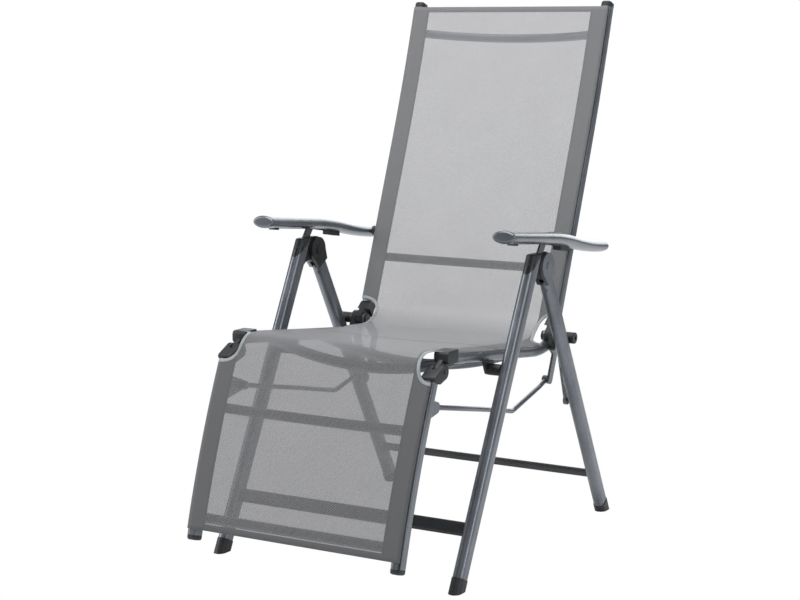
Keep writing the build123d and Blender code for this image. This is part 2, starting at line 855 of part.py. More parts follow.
with BuildPart() as push_rod:
    with BuildLine(side(rod_x)) as rod_line:
        FilletPolyline(lever_pin, rod_low_bend, rod_lowest, rod_rise, rod_front, radius=rod_bend_radius)
    with BuildSketch(Plane(origin=rod_line.line @ 0, z_dir=rod_line.line % 0)) as rod_section:
        Circle(rod_radius)
    sweep(rod_section.sketch, path=rod_line.line)
    for eye in (lever_pin_point, rod_front_point):
        round_bar(rod_x - rod_radius - face_gap, lever_x - face_gap, eye, rod_eye_radius)
    round_bar(rod_x - rod_radius - face_gap - rod_end_head, rod_x, rod_front_point, lever_pin_head)
    round_bar(
        rod_x - rod_radius - rod_end_head,
        lever_x,
        lever_pin_point,
        lever_pin_radius + running_fit,
        mode=Mode.SUBTRACT,
    )

# Leg rest

rest_rail_line = rest_line(rail_x)
rest_rail_body = rail(rest_rail_line)
with BuildPart() as rest_rail:
    add(rest_rail_body.part)
    # Bracket behind the rail that the rod's front eye stands beside.
    bracket_top = flat(rest_rail_line.position_at(bracket_top_along, position_mode=PositionMode.LENGTH))
    bracket_low = flat(rest_rail_line.position_at(bracket_low_along, position_mode=PositionMode.LENGTH))
    rail_back = -rest_front * (rail_depth / 2 - rail_wall)
    strap(
        lever_x + face_gap,
        lever_x + face_gap + bracket_thickness,
        [
            (rod_front_point, bracket_eye_radius),
            (bracket_top + rail_back, rail_wall / 2),
            (bracket_low + rail_back, rail_wall / 2),
        ],
    )

rest_end = Plane(
    origin=rest_rail_line @ 0 - (rest_rail_line % 0) * press_fit,
    x_dir=(-1, 0, 0),
    z_dir=-(rest_rail_line % 0),
)
rest_cap_shell = rail_cap(rest_end, rest_cap_height)
with BuildPart() as rest_cap:
    add(rest_cap_shell.part)
    rail_plug(rest_end, -rail_plug_length)

rest_cross_top = rail_cross_tube(rest_rail_line, rest_cross_top_along, rest_cross_top_bow, rest_cross_radius)
rest_cross_low = rail_cross_tube(rest_rail_line, rest_cross_low_along, rest_cross_low_bow, rest_cross_radius)

with BuildPart() as rest_head:
    rest_step = heading(rest_angle)
    shoulder = rest_top + rest_step * (cap_rounding + press_fit)
    knee_casting = [
        (knee_point, knee_cheek_radius),
        (shoulder + rest_front * (rail_depth / 2 - cap_rounding), cap_rounding),
        (shoulder - rest_front * (rail_depth / 2 - cap_rounding), cap_rounding),
    ]
    tongue_start = seat_tube_x - tongue_width / 2 - face_gap
    tongue_end = seat_tube_x + tongue_width / 2 + face_gap
    strap(tongue_start - knee_cheek, tongue_end + knee_cheek, knee_casting)
    round_bar(tongue_start, tongue_end, knee_point, knee_lane_radius, mode=Mode.SUBTRACT)
    plug_top = across(rail_x, rest_top + rest_step * cap_rounding, rest_angle)
    rail_plug(plug_top, -cap_rounding - rail_plug_length)
    round_bar(
        tongue_start - knee_cheek - rivet_head,
        tongue_end + knee_cheek + rivet_head,
        knee_point,
        knee_pin_radius,
    )

# Armrests


# The pin runs along this line in the armrest while the backrest reclines.
track = (prop_point - arm_pivot).normalized()


def on_track(y, rise):
    """Point over the pin's running line, seen from the armrest."""
    return Vector(y, prop_point.Y + (y - prop_point.X) * track.Y / track.X + rise)


def arm_line():
    """Middle line of an armrest: straight in front, a gentle hump, levelling out behind."""
    points = [on_track(*place) for place in (arm_front, arm_crown, arm_sag, arm_rear)]
    front, crown, sag, rear = [(point.X, point.Y) for point in points]
    with BuildLine(side(arm_x)) as line:
        straight = Line(front, crown)
        hump = TangentArc(crown, sag, tangent=straight % 1)
        TangentArc(sag, rear, tangent=hump % 1)
    return line.wire()


def under_arm(y):
    """Point on the underside of the straight front of an armrest, or of its rear part taken as straight."""
    near, far = (arm_front, arm_crown) if y < arm_crown[0] else (arm_crown, arm_sag)
    share = (y - near[0]) / (far[0] - near[0])
    return on_track(y, near[1] + (far[1] - near[1]) * share - arm_tall / 2)


arm_middle = arm_line()
arm_start = Plane(origin=arm_middle @ 0, x_dir=(1, 0, 0), z_dir=arm_middle % 0)
tip_rise = prop_pin_radius * sqrt(1 + (track.Y / track.X) ** 2) + face_gap

with BuildPart() as arm_tube:
    with BuildSketch(arm_start) as arm_outside:
        Ellipse(arm_width / 2, arm_tall / 2)
    sweep(arm_outside.sketch, path=arm_middle)
    fillet(arm_tube.faces().sort_by(Axis.Y)[-1].edges(), arm_rear_rounding)
    with BuildSketch(arm_start) as arm_inside:
        Ellipse(arm_width / 2 - arm_wall, arm_tall / 2 - arm_wall)
    sweep(arm_inside.sketch, path=arm_middle.trim(0, 1 - arm_rear_wall_share), mode=Mode.SUBTRACT)
    plate(
        arm_x - rack_width / 2 - press_fit,
        arm_x + rack_width / 2 + press_fit,
        [
            on_track(rack_front - press_fit, -2 * arm_tall),
            on_track(rack_rear + press_fit, -2 * arm_tall),
            on_track(rack_rear + press_fit, 0),
            on_track(rack_front - press_fit, 0),
        ],
        mode=Mode.SUBTRACT,
    )
    round_bar(arm_x - arm_width, arm_x, arm_pivot, axle_radius + running_fit, mode=Mode.SUBTRACT)

with BuildPart() as arm_insert:
    # Rounded front cap with its plug.
    with BuildSketch(arm_start):
        Ellipse(arm_width / 2, arm_tall / 2)
    extrude(amount=-arm_cap_length)
    fillet(arm_insert.faces().sort_by(Axis.Y)[0].edges(), arm_cap_rounding)
    with BuildSketch(arm_start):
        Ellipse(arm_width / 2 - arm_wall - press_fit, arm_tall / 2 - arm_wall - press_fit)
    extrude(amount=rack_front - arm_front[0])
    # Rack with a nub at each end.
    plate(
        arm_x - rack_width / 2,
        arm_x + rack_width / 2,
        [
            on_track(rack_front - rack_front_nub, tip_rise + rack_web),
            under_arm(rack_front - rack_front_nub) + Vector(0, 2 * arm_wall),
            under_arm(rack_front) + Vector(0, 2 * arm_wall),
            under_arm(rack_front) - Vector(0, rack_front_nub),
            under_arm(rack_channel_front) - Vector(0, rack_front_nub),
            under_arm(rack_channel_front),
            under_arm(arm_crown[0]),
            under_arm(rack_channel_back),
            under_arm(rack_channel_back) - Vector(0, rack_rear_nub),
            under_arm(rack_rear) - Vector(0, rack_rear_nub),
            on_track(rack_rear, tip_rise + rack_web),
        ],
    )
    plate(
        arm_x - rack_width / 2 + rack_wall,
        arm_x + rack_width / 2 - rack_wall,
        [
            on_track(rack_channel_front, tip_rise),
            on_track(rack_channel_front, -arm_tall),
            on_track(rack_channel_back, -arm_tall),
            on_track(rack_channel_back, tip_rise),
        ],
        mode=Mode.SUBTRACT,
    )
    for step in range(-rack_notches_behind, rack_notches_before + 1):
        round_bar(
            arm_x - rack_width / 2 + rack_wall,
            arm_x + rack_width / 2 - rack_wall,
            on_track(prop_point.X - step * notch_pitch, tip_rise),
            notch_radius,
            mode=Mode.SUBTRACT,
        )

with BuildPart() as arm_bush:
    round_bar(rail_outer_x + face_gap, arm_x - arm_width / 2 - face_gap, arm_pivot, bush_radius)
    round_bar(rail_outer_x + face_gap, arm_x - arm_width / 2 + axle_reach, arm_pivot, axle_radius)

# Fabric


def mesh_band(line, lift):
    """Band of mesh along a line, lifted off it towards the sitter."""
    with BuildSketch(Plane(origin=line @ 0, x_dir=(1, 0, 0), z_dir=line % 0)) as band_section:
        with Locations((0, -lift)):
            Rectangle(2 * fabric_half_width, fabric_thickness)
    with BuildPart() as band:
        sweep(band_section.sketch, path=line)
    return band


def cut_out(point, radius):
    """Clear the part being built round a hinge on both sides."""
    round_bar(cut_out_x, rail_outer_x, point, radius, mode=Mode.SUBTRACT)
    round_bar(-rail_outer_x, -cut_out_x, point, radius, mode=Mode.SUBTRACT)


mesh_lift = rail_depth / 2 + fabric_gap + fabric_thickness / 2
back_band = mesh_band(back_line(0), mesh_lift)
with BuildPart() as back_mesh:
    add(back_band.part)
    split(bisect_by=Plane.XY.offset(fabric_top_height), keep=Keep.BOTTOM)
    cut_out(hinge, cut_out_back)

knee_front = knee_point + rest_front * rest_rail_before_knee
with BuildLine(side(0)) as wrap_line:
    ThreePointArc((rest_foot.X, rest_foot.Y), (rest_bulge.X, rest_bulge.Y), (rest_top.X, rest_top.Y))
    Line((rest_top.X, rest_top.Y), (knee_front.X, knee_front.Y))
    CenterArc(
        (knee_point.X, knee_point.Y),
        rest_rail_before_knee,
        rest_angle + 90,
        knee_wrap - rest_angle - 90,
    )
rest_band = mesh_band(wrap_line.wire(), mesh_lift)
with BuildPart() as rest_mesh:
    add(rest_band.part)
    split(bisect_by=Plane.XY.offset(fabric_bottom_height), keep=Keep.TOP)
    cut_out(knee_point, cut_out_rest)

seat_sheet_radius = rest_rail_before_knee + mesh_lift + fabric_thickness + sheet_gap
sheet_start = knee_point + heading(90 + seat_sheet_slope, seat_sheet_radius)
sheet_bend = sheet_start + heading(seat_sheet_slope) * (
    (seat_sheet_bend_y - sheet_start.X) / heading(seat_sheet_slope).X
)
with BuildLine(side(0)) as seat_sheet_line:
    CenterArc(
        (knee_point.X, knee_point.Y),
        seat_sheet_radius,
        seat_sheet_start,
        90 + seat_sheet_slope - seat_sheet_start,
    )
    Line((sheet_start.X, sheet_start.Y), (sheet_bend.X, sheet_bend.Y))
    TangentArc((sheet_bend.X, sheet_bend.Y), seat_sheet_end, tangent=course(seat_sheet_slope))
seat_band = mesh_band(seat_sheet_line.wire(), 0)


def under_sheet(y):
    """Point inside the straight part of the seat sheet."""
    return sheet_start + heading(seat_sheet_slope) * ((y - sheet_start.X) / heading(seat_sheet_slope).X)


with BuildPart() as seat_mesh:
    add(seat_band.part)
    for x in (-seat_tube_x, seat_tube_x):
        plate(
            x - seat_hem_width / 2,
            x + seat_hem_width / 2,
            [
                over_seat_tube(seat_tube_front[0]),
                over_seat_tube(seat_tube_bend[0]),
                over_seat_tube(seat_tube_bend[0]) + Vector(seat_tube_radius, 0),
                under_sheet(seat_tube_bend[0] + seat_tube_radius),
                under_sheet(seat_tube_front[0]),
            ],
        )
    cut_out(knee_point, cut_out_seat)
    cut_out(hinge, cut_out_hinge)

os.makedirs("parts", exist_ok=True)

pairs = {
    "front_leg_tube": front_leg_tube,
    "front_leg_head": front_leg_head,
    "front_leg_foot": front_leg_foot,
    "arm_prop": arm_prop,
    "rear_leg_tube": rear_leg_tube,
    "rear_leg_fork": rear_leg_fork,
    "rear_leg_foot": rear_leg_foot,
    "seat_side_tube": seat_tube,
    "seat_front_head": seat_front_head,
    "seat_rear_head": seat_rear_head,
    "fold_bracket": fold_bracket,
    "folding_link": folding_link,
    "back_rail": back_rail,
    "back_rail_cap": back_cap,
    "back_head": back_head,
    "recline_lever": lever,
    "push_rod": push_rod,
    "rest_rail": rest_rail,
    "rest_rail_cap": rest_cap,
    "rest_head": rest_head,
    "arm_bush": arm_bush,
    "arm_tube": arm_tube,
    "arm_insert": arm_insert,
}
for name, left in pairs.items():
    write_pair(left, name)

singles = {
    "front_cross_bar": front_cross_bar,
    "rear_cross_bar": rear_cross_bar,
    "seat_cross_tube_front": seat_cross_front,
    "seat_cross_tube_rear": seat_cross_rear,
    "back_cross_tube_low": back_cross_low,
    "back_cross_tube_top": back_cross_top,
    "rest_cross_tube_top": rest_cross_top,
    "rest_cross_tube_low": rest_cross_low,
    "back_mesh": back_mesh,
    "seat_mesh": seat_mesh,
    "rest_mesh": rest_mesh,
}
for name, piece in singles.items():
    write(piece, name)
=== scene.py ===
"""Looks of the reclining garden armchair: grey metal frame, black fittings, see-through mesh."""

import math

import bmesh
import bpy
import numpy as np
from mathutils import Matrix, Vector, geometry


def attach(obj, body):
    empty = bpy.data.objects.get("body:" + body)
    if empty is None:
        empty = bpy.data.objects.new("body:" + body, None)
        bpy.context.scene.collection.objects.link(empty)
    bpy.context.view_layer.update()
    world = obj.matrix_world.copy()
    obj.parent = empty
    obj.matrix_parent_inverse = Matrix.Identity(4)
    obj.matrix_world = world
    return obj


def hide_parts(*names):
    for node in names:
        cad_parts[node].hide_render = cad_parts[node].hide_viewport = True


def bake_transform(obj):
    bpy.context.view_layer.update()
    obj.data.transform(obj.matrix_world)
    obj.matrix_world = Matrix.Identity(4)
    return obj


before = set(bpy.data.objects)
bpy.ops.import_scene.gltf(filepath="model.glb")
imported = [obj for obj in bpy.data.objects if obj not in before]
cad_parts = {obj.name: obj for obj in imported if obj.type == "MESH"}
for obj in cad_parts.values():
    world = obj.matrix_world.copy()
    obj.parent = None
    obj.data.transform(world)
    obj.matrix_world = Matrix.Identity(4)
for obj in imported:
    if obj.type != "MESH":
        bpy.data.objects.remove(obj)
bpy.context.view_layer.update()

# Side-view points are (rearward, up) in metres, as in the solids, with rearward measured from
# the chair's middle. MIDDLE is where that middle lies in the shared frame.
MIDDLE = 0.04605
HINGE = (0.13901, 0.422444)
KNEE = (-0.3555, 0.4245)
SIDES = (("left", 1), ("right", -1))


# Materials


def connect(owner, value, socket):
    """Feed a socket by a link from another socket, or with a constant."""
    if isinstance(value, bpy.types.NodeSocket):
        owner.node_tree.links.new(value, socket)
    else:
        socket.default_value = value


def add(owner, kind, **inputs):
    """A node with its inputs set; a key such as i0 gives a socket's number, any other its name."""
    node = owner.node_tree.nodes.new(kind)
    for key, value in inputs.items():
        numbered = key[0] == "i" and key[1:].isdigit()
        socket = node.inputs[int(key[1:])] if numbered else node.inputs[key.replace("_", " ")]
        connect(owner, value, socket)
    return node


def principled(name):
    """A material with its shader and the output that the shader is linked to."""
    material = bpy.data.materials.new(name)
    material.use_nodes = True
    material.node_tree.nodes.clear()
    output = add(material, "ShaderNodeOutputMaterial")
    shader = add(material, "ShaderNodeBsdfPrincipled")
    connect(material, shader.outputs["BSDF"], output.inputs["Surface"])
    return material, shader, output


def maths(material, operation, *values):
    """Result of a number operation."""
    numbered = {"i" + str(i): value for i, value in enumerate(values)}
    node = add(material, "ShaderNodeMath", **numbered)
    node.operation = operation
    return node.outputs[0]


def noise(material, vector, scale, detail):
    """Noise over a vector."""
    return add(
        material, "ShaderNodeTexNoise", Vector=vector, Scale=scale, Detail=detail
    ).outputs["Fac"]


def ramp(material, source, stops):
    """Colours that follow a value."""
    node = add(material, "ShaderNodeValToRGB", Fac=source)
    elements = node.color_ramp.elements
    while len(elements) < len(stops):
        elements.new(0.5)
    for element, (position, colour) in zip(elements, stops):
        element.position = position
        element.color = (*colour, 1)
    return node.outputs["Color"]


def level_ramp(material, source, stops):
    """Levels that follow a value."""
    return ramp(material, source, [(position, (level,) * 3) for position, level in stops])


def mix_colours(material, share, first, second, blend="MIX"):
    """Two colours mixed; the colour sockets come after the node's number and vector sockets."""
    node = add(material, "ShaderNodeMix")
    node.data_type = "RGBA"
    node.blend_type = blend
    for index, value in ((0, share), (6, first), (7, second)):
        connect(material, value, node.inputs[index])
    return node.outputs[2]


def surface(material, shader, colour, roughness, height, strength, depth, edge_radius=0.0):
    """Colour, roughness and fine relief of a shader, with its edges rounded in the shading."""
    connect(material, colour, shader.inputs["Base Color"])
    connect(material, roughness, shader.inputs["Roughness"])
    relief = add(material, "ShaderNodeBump", Strength=strength, Distance=depth, Height=height)
    if edge_radius:
        edges = add(material, "ShaderNodeBevel", Radius=edge_radius)
        edges.samples = 4
        connect(material, edges.outputs["Normal"], relief.inputs["Normal"])
    connect(material, relief.outputs["Normal"], shader.inputs["Normal"])


def coated_metal(name, dark, light, metallic, rough, cap_edge=None):
    """Powder-coated metal: soft flakes, faint orange-peel relief, rounded edges.

    cap_edge is the (slope, height) of a side-view line that a black plastic cap covers it above.
    """
    material, shader, _ = principled(name)
    place = add(material, "ShaderNodeTexCoord").outputs["Object"]
    flakes = noise(material, place, 900.0, 2.0)
    clouds = noise(material, place, 9.0, 3.0)
    mixed = maths(material, "MULTIPLY", flakes, clouds)
    colour = ramp(material, mixed, [(0.1, dark), (0.42, light)])
    roughness = level_ramp(material, clouds, [(0.3, rough - 0.05), (0.7, rough + 0.06)])
    if cap_edge:
        axes = add(material, "ShaderNodeSeparateXYZ", Vector=place)
        edge = maths(material, "MULTIPLY_ADD", axes.outputs["Y"], *cap_edge)
        uncapped = maths(material, "LESS_THAN", axes.outputs["Z"], edge)
        colour = mix_colours(material, uncapped, CAP_BLACK, colour)
        metallic = maths(material, "MULTIPLY", uncapped, metallic)
    connect(material, metallic, shader.inputs["Metallic"])
    surface(material, shader, colour, roughness, flakes, 0.06, 0.0004, 0.0009)
    return material


def plastic_like(name, dark, light, rough):
    """Moulded plastic or coated tape: fine grain and a slightly worn tone."""
    material, shader, _ = principled(name)
    place = add(material, "ShaderNodeTexCoord").outputs["Object"]
    grain = noise(material, place, 1400.0, 3.0)
    clouds = noise(material, place, 30.0, 4.0)
    colour = ramp(material, clouds, [(0.3, dark), (0.7, light)])
    roughness = level_ramp(material, grain, [(0.3, rough - 0.06), (0.7, rough + 0.1)])
    surface(material, shader, colour, roughness, grain, 0.12, 0.0003, 0.0012)
    return material


def zinc_steel(name):
    """Zinc-plated steel: drawn streaks and cloudy plating."""
    material, shader, _ = principled(name)
    place = add(material, "ShaderNodeTexCoord").outputs["Object"]
    drawn = add(material, "ShaderNodeMapping", Vector=place, Scale=(60.0, 900.0, 60.0))
    streaks = noise(material, drawn.outputs["Vector"], 3.0, 3.0)
    colour = ramp(material, streaks, [(0.3, (0.12, 0.125, 0.13)), (0.7, (0.25, 0.255, 0.26))])
    roughness = level_ramp(material, streaks, [(0.3, 0.3), (0.7, 0.45)])
    shader.inputs["Metallic"].default_value = 0.85
    surface(material, shader, colour, roughness, streaks, 0.1, 0.0003)
    return material


THREAD_SPACING = 0.0016
RIB_SPACING = THREAD_SPACING * 3.3
# Turns the waves along the sheet out of step with those across it.
WAVE_SHIFT = 0.25
BAND_INSIDE = 0.1985
# The seam runs just inside the band's free edge.
SEAM_PLACE = BAND_INSIDE + 0.003
SEAM_HALF_WIDTH = 0.0007
BAND_TONE, SEAM_TONE = 0.56, -0.12
BAND_COVER = 0.97
# How much the rib shows in the threads' tone, and the weave in how much it covers.
RIB_TONE = 0.14
THREAD_COVER, RIB_COVER, CLOUD_COVER = 0.05, 0.035, 0.06


def mesh_fabric(name, course_length, painted_light_stretches, hem):
    """Woven coated mesh: crossing threads with open holes, doubled in side bands and hem.

    stretches lists (length along the sheet, light thread, dark thread, cover), and the values
    blend between them as painted light and shade. hem is the hem's (start, end) along the sheet.
    """
    material, shader, _ = principled(name)
    flat = add(material, "ShaderNodeAttribute")
    flat.attribute_name = "flat"
    split = add(material, "ShaderNodeSeparateXYZ", Vector=flat.outputs["Vector"])
    across, along = split.outputs["X"], split.outputs["Y"]
    waves = [
        maths(
            material,
            "SINE",
            maths(material, "MULTIPLY_ADD", value, 2 * math.pi / THREAD_SPACING, shift),
        )
        for value, shift in ((across, 0.0), (along, WAVE_SHIFT))
    ]
    crossed = maths(material, "MULTIPLY", *waves)
    # Diagonal rib that the twill weave shows from a distance.
    slanting = maths(material, "ADD", across, along)
    rib = maths(
        material, "SINE", maths(material, "MULTIPLY", slanting, 2 * math.pi / RIB_SPACING)
    )
    cloud = noise(material, flat.outputs["Vector"], 14.0, 3.0)
    fleck = noise(material, flat.outputs["Vector"], 420.0, 2.0)

    # Painted light and shade: the thread tones and how open the weave is change along the sheet.
    share = maths(material, "DIVIDE", along, course_length)
    places = [s / course_length for s, _, _, _ in painted_light_stretches]
    _, lights, darks, covers = zip(*painted_light_stretches)
    light = ramp(material, share, list(zip(places, lights)))
    dark = ramp(material, share, list(zip(places, darks)))
    cover = level_ramp(material, share, list(zip(places, covers)))

    flecked = maths(material, "MULTIPLY_ADD", fleck, 0.5, 0.25)
    tone = maths(material, "MULTIPLY_ADD", rib, RIB_TONE, flecked)
    threads = mix_colours(material, tone, dark, light)
    off_middle = maths(material, "ABSOLUTE", across)
    side = maths(material, "GREATER_THAN", off_middle, BAND_INSIDE)
    hemmed = maths(material, "COMPARE", along, sum(hem) / 2, (hem[1] - hem[0]) / 2)
    band = maths(material, "MAXIMUM", side, hemmed)
    seam = maths(material, "COMPARE", off_middle, SEAM_PLACE, SEAM_HALF_WIDTH)
    shade = maths(material, "MULTIPLY_ADD", seam, SEAM_TONE, BAND_TONE)
    tint = add(material, "ShaderNodeCombineColor", Red=shade, Green=shade, Blue=shade)
    colour = mix_colours(material, band, threads, tint.outputs["Color"], "MULTIPLY")
    surface(material, shader, colour, 0.62, crossed, 0.25, 0.0004)
    shader.inputs["Sheen Weight"].default_value = 0.15

    # Holes between the threads, with a faint unevenness in how open the weave is.
    opened = maths(material, "MULTIPLY_ADD", crossed, THREAD_COVER, cover)
    ribbed = maths(material, "MULTIPLY_ADD", rib, RIB_COVER, opened)
    uneven = maths(material, "MULTIPLY_ADD", cloud, CLOUD_COVER, ribbed)
    solid = add(material, "ShaderNodeMix", Factor=band, A=uneven, B=BAND_COVER)
    connect(material, solid.outputs["Result"], shader.inputs["Alpha"])
    return material


# Side-view line that the front legs' black caps reach down to: it climbs to the rear.
CAP_SLOPE = 0.675
CAP_FRONT = (-0.0647, 0.586)
CAP_EDGE = (CAP_SLOPE, CAP_FRONT[1] - CAP_SLOPE * (CAP_FRONT[0] + MIDDLE))
CAP_BLACK = (0.018, 0.018, 0.019, 1)
ANTHRACITE = ((0.12, 0.13, 0.145), (0.26, 0.275, 0.30), 0.72, 0.29)
# Darker copy of the metal: painted shade for parts that lie in deep shade.
PAINTED_SHADE_ANTHRACITE = ((0.035, 0.037, 0.040), (0.075, 0.078, 0.083), 0.5, 0.42)

metal = coated_metal("anthracite_metal", *ANTHRACITE)
capped_metal = coated_metal("anthracite_metal_capped", *ANTHRACITE, CAP_EDGE)
painted_shade_metal = coated_metal("anthracite_metal_painted_shade", *PAINTED_SHADE_ANTHRACITE)
plastic = plastic_like("black_plastic", (0.012, 0.012, 0.013), (0.028, 0.028, 0.030), 0.46)
tape = plastic_like("silver_tape", (0.26, 0.28, 0.285), (0.42, 0.44, 0.45), 0.5)
steel = zinc_steel("zinc_steel")


# Finish of the carried-over pieces

PLASTIC = (
    "front_leg_head",
    "front_leg_foot",
    "rear_leg_foot",
    "seat_front_head",
    "seat_rear_head",
    "fold_bracket",
    "back_rail_cap",
    "back_head",
    "rest_rail_cap",
    "rest_head",
    "arm_bush",
    "arm_insert",
)
# First words of the pieces' names and their look; the other pieces are plain metal. The cross
# bars and the backrest's low tube get the darker metal: painted shade for the deep shade there.
LOOKS = (
    (PLASTIC, plastic),
    (("arm_prop", "folding_link"), steel),
    (("front_cross_bar", "rear_cross_bar", "back_cross_tube_low"), painted_shade_metal),
    (("front_leg_tube",), capped_metal),
)
ARM_CAP_REAR = -0.178
FORK_MIDDLE = 0.272
CREASE_ANGLE = 35


def named(*words):
    """The carried-over pieces whose names start with one of the words."""
    return [node for name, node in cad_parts.items() if name.startswith(words)]


def second_look(word, material, covers):
    """Give a second material to the faces that it covers, chosen by their middles."""
    for node in named(word):
        node.data.materials.append(material)
        for face in node.data.polygons:
            face.material_index = 1 if covers(face.center) else 0


for name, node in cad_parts.items():
    node.data.materials.clear()
    node.data.materials.append(
        next((look for words, look in LOOKS if name.startswith(words)), metal)
    )

# The armrests' front caps have the frame's own grey, and the forks' inner cheeks are black.
second_look("arm_insert", metal, lambda middle: middle.y < ARM_CAP_REAR + MIDDLE)
second_look("rear_leg_fork", plastic, lambda middle: abs(middle.x) < FORK_MIDDLE)

# Moulded knee heads have broad rounded edges.
for node in named("seat_front_head", "rest_head"):
    weld = node.modifiers.new("joined", "WELD")
    weld.merge_threshold = 0.00001
    rounded = node.modifiers.new("rounded", "BEVEL")
    rounded.width = 0.0032
    rounded.segments = 4
    rounded.limit_method = "ANGLE"
    rounded.angle_limit = math.radians(40)
    rounded.use_clamp_overlap = True

# Round faces shade smoothly and edges stay crisp.
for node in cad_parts.values():
    node.data.shade_smooth()
    crisp = node.modifiers.new("crisp", "EDGE_SPLIT")
    crisp.split_angle = math.radians(CREASE_ANGLE)


# Course of the mesh sheet, seen from the side


def turn(vector, degrees):
    """A side-view vector turned, upwards from rearward positive."""
    a = math.radians(degrees)
    cos, sin = math.cos(a), math.sin(a)
    return np.array([vector[0] * cos - vector[1] * sin, vector[0] * sin + vector[1] * cos])


def bearing(centre, point):
    """Direction in degrees in which a point lies from a centre."""
    step = np.array(point) - centre
    return math.degrees(math.atan2(step[1], step[0]))


def arc_radius(tangent, chord):
    """Radius of the arc over a chord that has the tangent at the chord's start or end."""
    half_turn = math.atan2(tangent[0] * chord[1] - tangent[1] * chord[0], float(tangent @ chord))
    return np.linalg.norm(chord) / (2 * math.sin(half_turn))


class Course:
    """Side-view course of the sheet from its top hem to its bottom hem, measured along it."""

    def __init__(self):
        self.points = []

    def arc(self, centre, radius, first, last, steps):
        """Run round a centre from one direction to another, in degrees."""
        for k in range(steps + 1):
            a = math.radians(first + (last - first) * k / steps)
            self.points.append(
                np.array((centre[0] + radius * math.cos(a), centre[1] + radius * math.sin(a)))
            )

    def straight(self, start, end, steps):
        """Run from a start, which is on the course already, to an end."""
        for k in range(1, steps + 1):
            self.points.append(start + (end - start) * k / steps)

    def curve(self, a, b, c, d, steps):
        """Bezier run from a, which is on the course already, to d."""
        for k in range(1, steps + 1):
            t = k / steps
            self.points.append(
                a * (1 - t) ** 3
                + 3 * b * t * (1 - t) ** 2
                + 3 * c * t * t * (1 - t)
                + d * t**3
            )

    def start_earlier(self, distance):
        """Lengthen the course straight out of its first point."""
        step = self.points[0] - self.points[1]
        self.points.insert(0, self.points[0] + step * (distance / np.linalg.norm(step)))

    def close(self, same=1e-5):
        """Drop doubled points and measure the course."""
        path = np.array(self.points)
        keep = [0]
        for i in range(1, len(path)):
            if np.linalg.norm(path[i] - path[keep[-1]]) > same:
                keep.append(i)
        self.path = path[keep]
        steps = np.diff(self.path, axis=0)
        sizes = np.linalg.norm(steps, axis=1)
        self.along = np.concatenate([[0], np.cumsum(sizes)])
        self.length = self.along[-1]
        steps /= sizes[:, None]
        tangents = np.vstack([steps[0], (steps[:-1] + steps[1:]) / 2, steps[-1]])
        self.tangents = tangents / np.linalg.norm(tangents, axis=1)[:, None]

    def at(self, s):
        """Side-view point and the direction towards the sitter at a length along the course."""
        y, z = (np.interp(s, self.along, self.path[:, axis]) for axis in (0, 1))
        ty, tz = (np.interp(s, self.along, self.tangents[:, axis]) for axis in (0, 1))
        size = np.hypot(ty, tz)
        return y, z, tz / size, -ty / size

    def nearest(self, point, steps=4000):
        """Length along the course that is nearest to a side-view point."""
        fine = np.linspace(0, self.length, steps)
        y, z, _, _ = self.at(fine)
        return float(fine[np.argmin(np.hypot(y - point[0], z - point[1]))])


# Distance of the mesh from the rails' middle line, and how far it goes on past the rails' top.
MESH_LIFT = 0.0150
HEM_ABOVE_RAIL = 0.0055
# Turn left out at both ends of the rails, in degrees.
END_INSET = 0.1

BACK_FOOT = np.array([0.166, 0.455])
BACK_TOP = np.array([0.4017, 1.1026])
BACK_LEAN = 21.06
BACK_STRAIGHT = 0.3729
back_up = turn((0, 1), -BACK_LEAN)
back_front = turn(back_up, 90)
bend_start = BACK_FOOT + back_up * BACK_STRAIGHT
bend_radius = arc_radius(back_up, BACK_TOP - bend_start)
bend_centre = bend_start + back_front * bend_radius

REST_LEAN = 24.5
REST_FOOT = np.array([-0.5045, 0.079])
REST_BELOW_KNEE = 0.0263
KNEE_RADIUS = 0.020
rest_up = turn((0, 1), -REST_LEAN)
rest_front = turn(rest_up, 90)
rest_top = np.array(KNEE) + rest_front * KNEE_RADIUS - rest_up * REST_BELOW_KNEE
rest_radius = arc_radius(rest_up, rest_top - REST_FOOT)
rest_centre = rest_top - rest_front * rest_radius

SEAT_SLOPE = -5.1
SEAT_REAR = 0.095
# The seat sheet clears the knee's centre by a little more than the bend round it does.
KNEE_ROUND = KNEE_RADIUS + MESH_LIFT
KNEE_CLEAR = KNEE_ROUND + 0.0023
KNEE_BEND = KNEE_ROUND + 0.0012
# How far the crease keeps the backrest's and the seat's directions.
CREASE_DOWN, CREASE_BACK = 0.012, 0.022

lifted_start = bend_start + back_front * MESH_LIFT
lifted_foot = BACK_FOOT + back_front * MESH_LIFT
seat_step = turn((1, 0), SEAT_SLOPE)
knee_top = np.array(KNEE) + turn((1, 0), 90 + SEAT_SLOPE) * KNEE_CLEAR
seat_rear = knee_top + seat_step * ((SEAT_REAR - knee_top[0]) / seat_step[0])

course = Course()
course.arc(
    bend_centre,
    bend_radius - MESH_LIFT,
    bearing(bend_centre, BACK_TOP) - END_INSET,
    bearing(bend_centre, bend_start),
    24,
)
course.start_earlier(HEM_ABOVE_RAIL)
course.straight(lifted_start, lifted_foot, 24)
course.curve(
    lifted_foot,
    lifted_foot - back_up * CREASE_DOWN,
    seat_rear + seat_step * CREASE_BACK,
    seat_rear,
    16,
)
course.straight(seat_rear, knee_top, 40)
course.arc(KNEE, KNEE_BEND, 90 + SEAT_SLOPE, 180 - REST_LEAN, 14)
course.arc(
    rest_centre,
    rest_radius + MESH_LIFT,
    bearing(rest_centre, rest_top),
    bearing(rest_centre, REST_FOOT) - END_INSET,
    30,
)
course.close()

s_hinge = course.nearest(HINGE)
s_knee = course.nearest((KNEE[0] - 0.025, KNEE[1] + 0.03))
s_middle = (s_hinge + s_knee) / 2


# Shape of the mesh sheet

HALF_WIDTH = 0.2385
TOP_HEM = 0.0005
BOTTOM_HEM = course.length - 0.008
SHEET_THICKNESS = 0.0010
